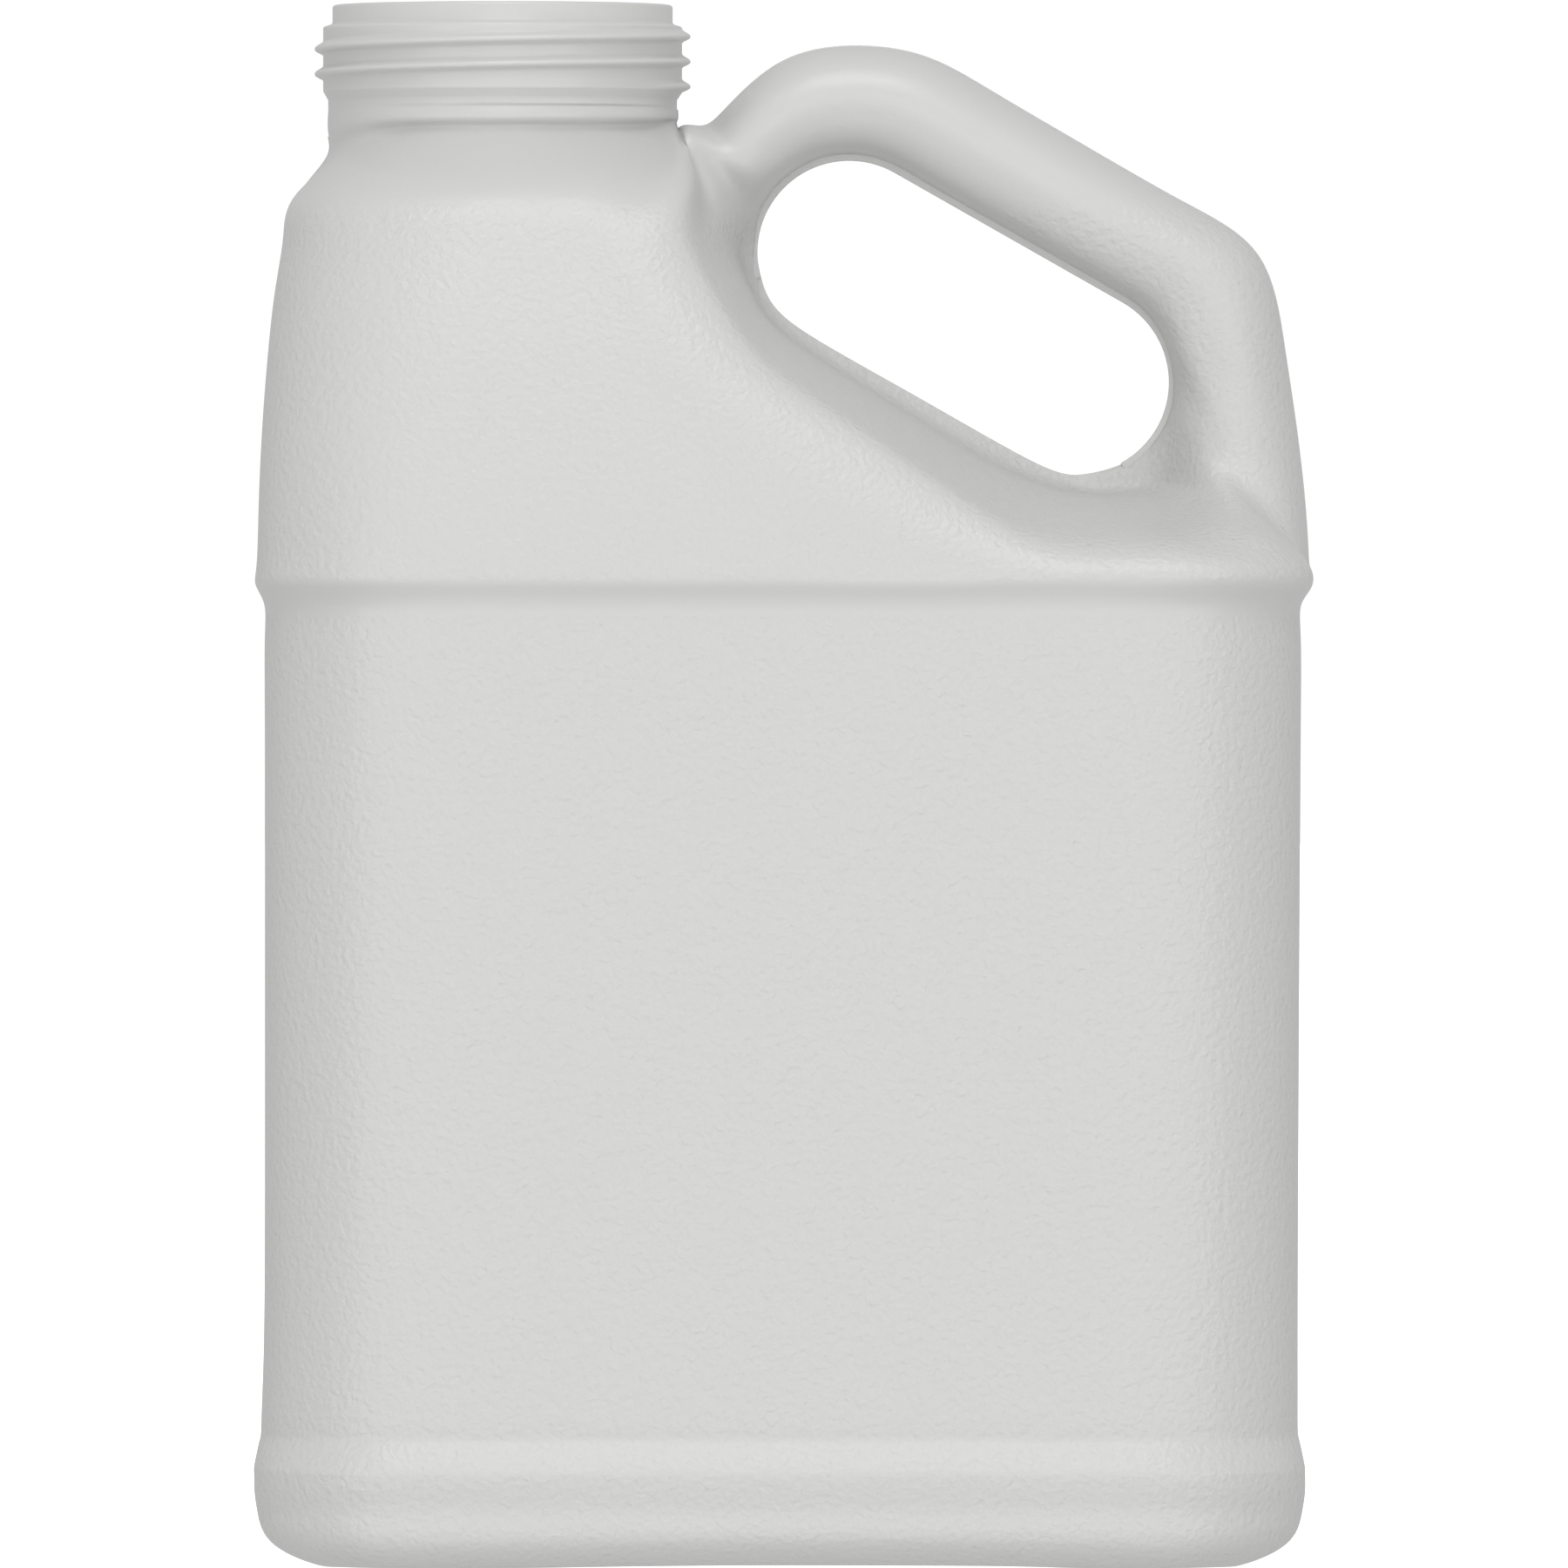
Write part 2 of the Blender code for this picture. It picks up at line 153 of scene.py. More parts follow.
def select_open_edges(obj: bpy.types.Object, wanted: Callable[[Vector], bool]) -> int:
    """Select the open edges of an object in edit mode that lie in the right place.

    Args:
        obj: The object, in edit mode.
        wanted: Tells from an edge's middle, in metres, whether it is picked.

    Returns:
        How many edges were picked.
    """
    mesh = bmesh.from_edit_mesh(obj.data)
    count = 0
    for edge in mesh.edges:
        picked = edge.is_boundary and wanted((edge.verts[0].co + edge.verts[1].co) / 2)
        edge.select_set(picked)
        count += picked
    bmesh.update_edit_mesh(obj.data)
    return count


def apply_modifier(obj: bpy.types.Object, kind: str, **settings: object) -> None:
    """Add a modifier to an object and apply it.

    Args:
        obj: The object.
        kind: The modifier's type.
        settings: The modifier's values by name.
    """
    only(obj)
    modifier = obj.modifiers.new(kind.lower(), kind)
    for name, value in settings.items():
        setattr(modifier, name, value)
    bpy.ops.object.modifier_apply(modifier=modifier.name)


def new_mesh(name: str, points: Sequence[Point], edges: Sequence, faces: Sequence) -> bpy.types.Object:
    """Make an object from points in millimetres.

    Args:
        name: The object's name.
        points: Its points.
        edges: Pairs of point numbers that no face uses.
        faces: Point numbers of each face.

    Returns:
        The object, linked to the scene.
    """
    mesh = bpy.data.meshes.new(name)
    mesh.from_pydata([tuple(c * MM for c in point) for point in points], list(edges), list(faces))
    mesh.update()
    obj = bpy.data.objects.new(name, mesh)
    bpy.context.scene.collection.objects.link(obj)
    return obj


def places(obj: bpy.types.Object) -> np.ndarray:
    """Give the points of an object's mesh in millimetres, one row each."""
    flat = np.empty(len(obj.data.vertices) * 3)
    obj.data.vertices.foreach_get("co", flat)
    return flat.reshape(-1, 3) / MM


def put(obj: bpy.types.Object, points: np.ndarray) -> None:
    """Move the points of an object's mesh to places in millimetres."""
    obj.data.vertices.foreach_set("co", (points * MM).ravel())
    obj.data.update()


@dataclass(frozen=True)
class NaturalPolyethylene:
    """Unpigmented high-density polyethylene, blown against a sand-blasted mould.

    The resin is milky and lets light wander a few millimetres through it, so shadows on it
    are soft. The mould leaves a fine leathery grain on the panels, and the skin has a satin
    gloss that is a little uneven.
    """

    name: str = "natural_polyethylene_blown"
    colour: str = "#C8C8C7"
    roughness: float = 0.38
    smooth_roughness: float = 0.33
    roughness_swing: float = 0.03
    ior: float = 1.54
    translucency: float = 0.12
    light_reach: float = 2.0
    reach_by_colour: tuple = (1.0, 1.0, 0.96)
    grain_size: float = 1.15
    grain_depth: float = 0.27
    unevenness_size: float = 30.0
    unevenness_depth: float = 0.05
    grain_mask: str = "grain"

    def material(self) -> bpy.types.Material:
        """Make the material, or give the one made before."""
        if self.name in bpy.data.materials:
            return bpy.data.materials[self.name]
        material = bpy.data.materials.new(self.name)
        material.use_nodes = True
        tree = material.node_tree
        shader = tree.nodes["Principled BSDF"]
        values = {
            "Base Color": linear(self.colour),
            "Metallic": 0.0,
            "IOR": self.ior,
            "Subsurface Weight": self.translucency,
            "Subsurface Radius": self.reach_by_colour,
            "Subsurface Scale": self.light_reach * MM,
        }
        for socket, value in values.items():
            shader.inputs[socket].default_value = value
        place = add_node(tree, "ShaderNodeTexCoord", {}, {}).outputs["Object"]
        mask = add_node(tree, "ShaderNodeAttribute", {"attribute_name": self.grain_mask}, {}).outputs["Fac"]
        grain = add_node(
            tree, "ShaderNodeTexNoise",
            {"Scale": 1 / (self.grain_size * MM), "Detail": 1.5, "Roughness": 0.45, "Distortion": 0.25},
            {"Vector": place},
        )
        waves = add_node(
            tree, "ShaderNodeTexNoise",
            {"Scale": 1 / (self.unevenness_size * MM), "Detail": 2.0, "Roughness": 0.5},
            {"Vector": place},
        )
        swing = add_node(
            tree, "ShaderNodeMapRange",
            {"To Min": -self.roughness_swing, "To Max": self.roughness_swing},
            {"Value": waves.outputs["Fac"]},
        )
        satin = add_node(
            tree, "ShaderNodeMapRange",
            {"To Min": self.smooth_roughness, "To Max": self.roughness},
            {"Value": mask},
        )
        gloss = add_node(
            tree, "ShaderNodeMath", {"operation": "ADD"},
            {0: satin.outputs["Result"], 1: swing.outputs["Result"]},
        )
        tree.links.new(gloss.outputs["Value"], shader.inputs["Roughness"])
        broad = add_node(
            tree, "ShaderNodeBump", {"Distance": self.unevenness_depth * MM, "Strength": 1.0},
            {"Height": waves.outputs["Fac"]},
        )
        fine = add_node(
            tree, "ShaderNodeBump", {"Distance": self.grain_depth * MM},
            {"Height": grain.outputs["Fac"], "Strength": mask, "Normal": broad.outputs["Normal"]},
        )
        tree.links.new(fine.outputs["Normal"], shader.inputs["Normal"])
        return material


@dataclass(frozen=True)
class LitAcrylic:
    """Opal acrylic of a light table, cast and polished: an even white that glows a little."""

    colour: str = "#F4F4F4"
    roughness: float = 0.6
    glow: float = 1.0

    def material(self) -> bpy.types.Material:
        """Make the material."""
        material = bpy.data.materials.new("opal_acrylic_light_table")
        material.use_nodes = True
        shader = material.node_tree.nodes["Principled BSDF"]
        shader.inputs["Base Color"].default_value = linear(self.colour)
        shader.inputs["Roughness"].default_value = self.roughness
        shader.inputs["Specular IOR Level"].default_value = 0.0
        shader.inputs["Emission Color"].default_value = linear(self.colour)
        shader.inputs["Emission Strength"].default_value = self.glow
        return material


class Cage:
    """Points and faces of the jug's front half, and their mirror image behind."""

    def __init__(self) -> None:
        """Start with nothing."""
        self.points: list[Point] = []
        self.faces: list[tuple[int, ...]] = []

    def add(self, point: Point) -> int:
        """Keep a point and give its number."""
        self.points.append(point)
        return len(self.points) - 1

    def strip(self, near: Sequence[int], far: Sequence[int]) -> None:
        """Add the faces between two rows of points."""
        for i in range(len(near) - 1):
            self.faces.append((near[i], far[i], far[i + 1], near[i + 1]))

    def mirrored(self) -> tuple[np.ndarray, list[tuple[int, ...]], list[int]]:
        """Add the back half.

        Returns:
            All points, all faces with the front ones first, and each front point's partner.
        """
        points = list(self.points)
        partner = []
        for i, (x, y, z) in enumerate(self.points):
            if y == 0.0:
                partner.append(i)
            else:
                partner.append(len(points))
                points.append((x, -y, z))
        back = [tuple(partner[i] for i in reversed(face)) for face in self.faces]
        return np.array(points), self.faces + back, partner


@dataclass
class JugBody:
    """The blown body: panels, belt, base, shoulder, hand hollow and hollow handle.

    Its form is a cage of points on the surface. Control points worked out from them make a
    subdivision surface that passes through them all.
    """

    wall: float = 1.2
    fine_level: int = 3
    inner_level: int = 2
    fused_depth: float = 0.25
    fused_margin: float = 1.01

    # Rows from the belt down: height, left edge, right edge, half the depth
    corner_r: float = 26.0
    belt_z: float = 165.2
    body_rows: tuple = (
        (165.2, -86.8, 86.9, 62.0),
        (161.4, -86.9, 86.9, 62.0),
        (158.2, -85.5, 85.1, 60.6),
        (152.5, -85.4, 85.0, 60.5),
        (138.0, -85.4, 85.0, 60.5),
        (106.0, -85.4, 84.8, 60.5),
        (68.0, -85.4, 84.6, 60.5),
        (41.0, -85.5, 84.5, 60.5),
        (29.0, -85.8, 84.5, 60.45),
        (23.4, -86.0, 84.5, 60.4),
        (21.3, -86.1, 84.6, 60.3),
        (20.0, -86.4, 84.9, 60.9),
        (18.1, -86.8, 85.3, 61.95),
        (16.2, -87.15, 85.65, 62.85),
        (14.9, -87.15, 85.7, 63.0),
        (12.2, -87.1, 85.7, 62.6),
        (8.6, -86.6, 85.2, 62.1),
    )
    belt_inset: tuple = (0.1,) * 8 + (0.2, 0.4, 0.8, 1.1, 1.1, 1.1, 1.0, 0.5, 0.0)

    # Rows under the last of those: how far in at the sides and in front, height
    base_r: float = 11.5
    base_rows: tuple = (
        (2.7, 0.8, 3.4),
        (10.6, 6.3, 0.0),
        (15.1, 11.0, 0.0),
        (20.1, 16.5, 0.0),
        (28.6, 26.0, 0.9),
    )
    base_corner_share: float = 0.8
    base_rise: float = 1.3
    base_middle_reach: float = 0.72
    arch_rise: float = 0.7
    arch_middle: float = 5.0
    arch_half_width: float = 47.0

    # Columns of the cage: steps along half a side, round a corner and along the front
    side_steps: int = 2
    corner_steps: int = 3
    front_x: tuple = (-38.0, -16.0, 4.0, 24.0, 43.3)

    # Shoulder rows: height and x at the left edge, then at the edge of the hand hollow
    shoulder_sizes: tuple = (
        (175.5, -86.4, 173.6, 28.2),
        (189.0, -85.8, 184.3, 13.4),
        (201.0, -84.9, 195.2, -2.0),
        (211.0, -83.8, 204.9, -10.3),
        (219.0, -82.6, 216.6, -16.4),
        (226.3, -80.3, 228.0, -15.6),
    )
    shoulder_sweep: float = 1.5
    shoulder_depths: tuple = (
        (165.2, 62.0),
        (180.0, 59.3),
        (200.0, 54.2),
        (212.0, 50.2),
        (219.0, 47.4),
        (226.5, 42.6),
        (236.5, 29.1),
    )
    shoulder_top_z: float = 236.5
    # How much less deep the shoulder is at the hollow, and its last row column by column
    hollow_edge_drop: float = 2.6
    last_row_drop: tuple = (0.0, 0.0, 0.0, 1.0, 3.5, 7.0)

    # The neck's foot: x from its axis, height
    neck_x: float = -46.65
    neck_r: float = 28.9
    neck_foot_r: float = 29.1
    neck_foot: tuple = (
        (-28.9, 232.4),
        (-27.5, 232.9),
        (-24.0, 234.1),
        (-19.3, 235.0),
        (-13.6, 235.4),
        (10.0, 235.6),
        (18.6, 235.8),
        (26.0, 236.5),
        (28.9, 237.2),
    )
    neck_angles: tuple = (180, 198, 214, 228, 242, 256, 272, 290, 310, 334, 360)
    neck_rows: tuple = (0.5, 1.0)
    neck_top_z: float = 240.4

    # Hand hole: the middles of its round ends, and where the cage's lines start round it
    hole_left: Flat = (10.8, 216.7)
    hole_right: Flat = (48.6, 195.2)
    hole_r: float = 15.2
    hole_slant: float = 60.0
    rim_stand_back: float = 1.1
    under_part: float = 0.86
    under_angles: tuple = (257, 277, 296, 314, 331, 348)
    right_angles: tuple = (4, 19, 35, 50)
    top_parts: tuple = (0.08, 0.46, 0.84)
    left_angles: tuple = (68, 92, 114, 134, 147)
    left_side_angles: tuple = (158, 168, 180, 200, 220)
    bottom_parts: tuple = (0.08, 0.46)
    # How much of each line is handle rather than hollow, and depths where the two run together
    under_shares: tuple = (0.0, 0.0, 0.05, 0.2, 0.5, 0.8, 1.0)
    left_shares: tuple = (1.0, 0.6, 0.12, 0.0, 0.0, 0.0, 0.0)
    right_root_line: int = 3
    right_root_depths: tuple = (
        (2.4, 9.5, 30.0, 47.5),
        (4.1, 14.0, 31.0, 43.0),
        (6.5, 16.0, 27.0, 33.0),
        (8.0, 15.0, 20.0, 21.0),
        (8.0, 13.6, 15.5, 12.5),
    )
    left_root_line: int = 18
    left_root_depths: tuple = (
        (8.0, 13.2, 13.6, 9.0),
        (7.0, 12.5, 14.6, 14.0),
        (5.0, 11.0, 17.5, 21.5),
        (2.5, 8.0, 21.5, 37.5),
    )

    # The handle's outer edge in the parting plane, from the belt to the neck
    handle_edge: tuple = (
        (86.4, 173.5),
        (85.0, 186.5),
        (82.8, 201.5),
        (78.5, 216.2),
        (66.0, 225.1),
        (49.5, 234.5),
        (34.5, 243.3),
        (22.5, 249.4),
        (9.5, 250.8),
        (-1.5, 247.6),
        (-9.6, 240.5),
        (-13.6, 237.6),
    )
    handle_half_depth: float = 13.6
    # Sections from the hole outwards: parts of the way across and of the full depth
    ring_steps: int = 5
    handle_across: tuple = (0.0, 0.08, 0.33, 0.655, 0.905, 1.0)
    handle_depth: tuple = (0.0, 0.66, 0.94, 0.96, 0.59, 0.0)
    hollow_across: tuple = (0.0, 0.18, 0.28, 0.46, 0.70, 1.0)
    hollow_depth: tuple = (0.0, 0.025, 0.15, 0.45, 0.83, 1.0)

    def half_plan(self, left: float, right: float, depth: float, radius: float) -> list[Flat]:
        """Give half a rounded rectangle, from the left edge round the front to the right.

        Args:
            left: Where the left edge is.
            right: Where the right edge is.
            depth: Half its depth.
            radius: The radius of its corners.

        Returns:
            Points in plan.
        """
        straight = depth - radius
        turns = np.radians(np.linspace(0, 90, self.corner_steps + 1))
        side = [(left, -straight * i / self.side_steps) for i in range(self.side_steps)]
        corner = [(radius * math.cos(t), radius * math.sin(t)) for t in turns]
        left_corner = [(left + radius - across, -straight - out) for across, out in corner]
        right_corner = [(right - radius + across, -straight - out) for across, out in reversed(corner)]
        start, end = left + radius, right - radius
        first = self.body_rows[0][1] + self.corner_r
        last = self.body_rows[0][2] - self.corner_r
        stretch = (end - start) / (last - first)
        front = [(start + (x - first) * stretch, -depth) for x in self.front_x]
        far_side = [(right, -straight * i / self.side_steps) for i in reversed(range(self.side_steps))]
        return side + left_corner + front + right_corner + far_side

    def arch(self, x: float) -> float:
        """Give how far the bottom edge is lifted at a place between the jug's two feet."""
        away = abs(x - self.arch_middle) / self.arch_half_width
        return self.arch_rise * max(0.0, 1.0 - away**2) ** 0.5 if away < 1.0 else 0.0

    def lower_rows(self) -> list[list[Point]]:
        """Give the rows from the belt down to the middle of the base."""
        rows = []
        for z, left, right, depth in self.body_rows:
            rows.append([(x, y, z) for x, y in self.half_plan(left, right, depth, self.corner_r)])
        _, left, right, depth = self.body_rows[0]
        for i, inset in enumerate(self.belt_inset):
            plan = self.half_plan(left + inset, right - inset, depth - inset, self.corner_r - inset)
            rows[0][i] = (*plan[i], self.belt_z)
        _, left, right, depth = self.body_rows[-1]
        for inset, front_inset, z in self.base_rows:
            radius = self.corner_r - self.base_corner_share * min(inset, self.base_r)
            plan = self.half_plan(left + inset, right - inset, depth - front_inset, radius)
            rows.append([(x, y, z + self.arch(x)) for x, y in plan])
        start, end = (rows[-1][i][0] * self.base_middle_reach for i in (0, -1))
        spread = np.linspace(start, end, len(rows[-1]))
        return rows + [[(x, 0.0, self.base_rise + self.arch_rise) for x in spread]]

    def shoulder_rise(self, z: float) -> float:
        """Give how far up the shoulder a height is, from 0 to 1."""
        return min(max((z - self.belt_z) / (self.shoulder_top_z - self.belt_z), 0.0), 1.0)

    def shoulder_row(self, number: int) -> list[Point]:
        """Give one row over the shoulder, from the left edge to the hollow's edge."""
        z_left, x_left, z_edge, x_edge = self.shoulder_sizes[number]
        last = number == len(self.shoulder_sizes) - 1
        count = self.side_steps + self.corner_steps + len(self.front_x)
        first = self.body_rows[0][1] + self.corner_r
        row = []
        for i in range(count + 1):
            z = z_left + (z_edge - z_left) * (i / count) ** self.shoulder_sweep
            depth = float(np.interp(z, *zip(*self.shoulder_depths)))
            radius = self.corner_r + (self.neck_r - self.corner_r) * self.shoulder_rise(z)
            straight = max(depth - radius, 0.0)
            along = i - self.side_steps - self.corner_steps
            if i <= self.side_steps:
                x, y = x_left, -straight * i / self.side_steps
            elif along <= 0:
                turn = math.pi / 2 * (i - self.side_steps) / self.corner_steps
                x = x_left + radius * (1 - math.cos(turn))
                y = -straight - radius * math.sin(turn)
            else:
                start = x_left + radius
                share = (self.front_x[along - 1] - first) / (self.front_x[-1] - first)
                x = start + share * (x_edge - start)
                y = -depth + (self.last_row_drop[along] if last else 0.0)
            row.append((x, y, z))
        if not last:
            x, y, z = row[-1]
            row[-1] = (x, y + self.hollow_edge_drop, z)
        return row

    def neck_row(self, radius: float, rise: float) -> list[Point]:
        """Give half a circle round the neck.

        Args:
            radius: Its radius.
            rise: How far up it is, from 0 at the neck's leaning foot to 1 at its level top.

        Returns:
            Points from the left over the front to the right.
        """
        row = []
        for angle in self.neck_angles:
            x = self.neck_x + radius * math.cos(math.radians(angle))
            y = 0.0 if angle in (180, 360) else radius * math.sin(math.radians(angle))
            foot = float(np.interp(x - self.neck_x, *zip(*self.neck_foot)))
            row.append((x, y, foot + (self.neck_top_z - foot) * rise))
        return row

    def hole_points(self) -> list[Flat]:
        """Give the starts of the cage's lines round the hand hole.

        They begin under the hole and run to the right, over its top and down its left.
        """
        def at(centre: Flat, angle: float) -> Flat:
            """Give a point on a round end."""
            turn = math.radians(angle)
            return centre[0] + self.hole_r * math.cos(turn), centre[1] + self.hole_r * math.sin(turn)

        def between(a: Flat, b: Flat, part: float) -> Flat:
            """Give a point part of the way along a straight side."""
            return a[0] + (b[0] - a[0]) * part, a[1] + (b[1] - a[1]) * part

        high = at(self.hole_right, self.hole_slant), at(self.hole_left, self.hole_slant)
        low = at(self.hole_left, self.hole_slant + 180), at(self.hole_right, self.hole_slant + 180)
        right = [at(self.hole_right, angle) for angle in self.under_angles + self.right_angles]
        left = [at(self.hole_left, angle) for angle in self.left_angles + self.left_side_angles]
        top = [between(*high, part) for part in self.top_parts]
        bottom = [between(*low, part) for part in self.bottom_parts]
        return [between(*low, self.under_part)] + right + top + left + bottom

    def handle_lines(self, edge_points: Sequence[Point]) -> list[list[Point]]:
        """Give the lines from the hand hole out over the handle or up the hollow.

        Args:
            edge_points: Where the lines end, in the order of hole_points.

        Returns:
            The points of each line, from the hole outwards.
        """
        shares = self.under_shares + (1.0,) * len(self.handle_edge) + self.left_shares
        roots = dict(enumerate(self.right_root_depths, self.right_root_line))
        roots.update(enumerate(self.left_root_depths, self.left_root_line))
        lines = []
        for number, (hole_x, hole_z) in enumerate(self.hole_points()):
            x, y, z = edge_points[number]
            share = shares[number]
            back = share * self.rim_stand_back / math.hypot(x - hole_x, z - hole_z)
            hole_x, hole_z = hole_x + (x - hole_x) * back, hole_z + (z - hole_z) * back
            line = [(hole_x, 0.0, hole_z)]
            for k in range(1, self.ring_steps):
                part = share * self.handle_across[k] + (1 - share) * self.hollow_across[k]
                depth = share * self.handle_half_depth * self.handle_depth[k] - y * self.hollow_depth[k]
                if number in roots:
                    depth = roots[number][k - 1]
                line.append((hole_x + (x - hole_x) * part, -depth, hole_z + (z - hole_z) * part))
            lines.append(line + [(x, y, z)])
        return lines

    def cage(self) -> tuple[Cage, list[int]]:
        """Build the cage of the whole outside.

        Returns:
            The cage and the row round the open top of the neck.
        """
        cage = Cage()
        lower = [[cage.add(p) for p in row] for row in self.lower_rows()]
        foot = len(self.shoulder_sizes)
        rows = [self.shoulder_row(number) for number in range(foot)]
        rows.append(self.neck_row(self.neck_foot_r, 0.0))
        rows += [self.neck_row(self.neck_r, rise) for rise in self.neck_rows]
        upper = [[cage.add(p) for p in row] for row in rows]
        for near, far in zip(lower, lower[1:]):
            cage.strip(near, far)
        panel = self.side_steps + self.corner_steps + len(self.front_x)
        belt = lower[0]
        for near, far in zip([belt[: panel + 1]] + upper, upper):
            cage.strip(far, near)
        outline = [cage.add((x, 0.0, z)) for x, z in self.handle_edge]
        edge = belt[panel:] + outline + [row[-1] for row in reversed(upper[: foot + 1])]
        lines = self.handle_lines([cage.points[i] for i in edge])
        rings = [[cage.add(line[k]) for line in lines] for k in range(self.ring_steps)] + [edge]
        for near, far in zip(rings, rings[1:]):
            cage.strip(near + near[:1], far + far[:1])
        return cage, upper[-1]

    @staticmethod
    def control(points: np.ndarray, faces: Sequence[tuple[int, ...]], rim: Sequence[int]) -> np.ndarray:
        """Work out control points whose subdivision surface passes through points.

        Args:
            points: The places that the surface passes through.
            faces: Four point numbers each.
            rim: The point numbers round the open top, in order.

        Returns:
            The control points.
        """
        # A point n edges meet in ends up at n * n parts itself, 4 of each neighbour along an
        # edge and 1 of each across a face. On the rim it is 4 parts itself, 1 of each neighbour.
        count = len(points)
        edges: list[set[int]] = [set() for _ in range(count)]
        across: list[list[int]] = [[] for _ in range(count)]
        for face in faces:
            for k, i in enumerate(face):
                edges[i].update((face[(k + 1) % 4], face[k - 1]))
                across[i].append(face[(k + 2) % 4])
        system = np.zeros((count, count))
        for i in range(count):
            valence = len(edges[i])
            scale = valence * (valence + 5)
            system[i, i] = valence**2 / scale
            for j in edges[i]:
                system[i, j] += 4 / scale
            for j in across[i]:
                system[i, j] += 1 / scale
        for k, i in enumerate(rim):
            system[i] = 0
            system[i, i] = 4 / 6
            system[i, rim[k - 1]] = 1 / 6
            system[i, rim[(k + 1) % len(rim)]] = 1 / 6
        return np.linalg.solve(system, points)

    def surface(self, name: str, level: int) -> bpy.types.Object:
        """Make the outside, open at the top of the neck.

        Args:
            name: The object's name.
            level: How often the cage is subdivided.

        Returns:
            The object, whose front faces come before its back ones.
        """
        cage, top = self.cage()
        points, faces, partner = cage.mirrored()
        rim = top + [partner[i] for i in reversed(top)][1:-1]
        surface = new_mesh(name, self.control(points, faces, rim), [], faces)
        apply_modifier(surface, "SUBSURF", levels=level, render_levels=level)
        spots = places(surface)
        spots[:, 2] = np.maximum(spots[:, 2], 0.0)
        put(surface, spots)
        return surface

    def inner_wall(self) -> bpy.types.Object:
        """Make the inside of the wall, facing the hollow, and let it end where walls fuse."""
        inner = self.surface("inner_wall", self.inner_level)
        half = len(inner.data.polygons) // 2
        with editing(inner, "FACE"):
            bpy.ops.mesh.select_all(action="SELECT")
            bpy.ops.transform.shrink_fatten(value=-self.wall * MM)
            bpy.ops.mesh.select_all(action="DESELECT")
            mesh = bmesh.from_edit_mesh(inner.data)
            mesh.faces.ensure_lookup_table()
            for face in mesh.faces[half:]:
                face.select_set(True)
            bmesh.update_edit_mesh(inner.data)
            bpy.ops.mesh.delete(type="FACE")
            bpy.ops.mesh.select_all(action="SELECT")
            bpy.ops.mesh.bisect(
                plane_co=(0, -self.fused_depth * MM, 0), plane_no=(0, 1, 0),
                clear_outer=True, threshold=SAME_PLACE,
            )
        points = places(inner)
        points[points[:, 1] > -self.fused_depth * self.fused_margin, 1] = 0.0
        put(inner, points)
        apply_modifier(inner, "MIRROR", use_axis=(False, True, False), merge_threshold=SAME_PLACE)
        with editing(inner, "FACE"):
            bpy.ops.mesh.select_all(action="SELECT")
            bpy.ops.mesh.flip_normals()
        return inner


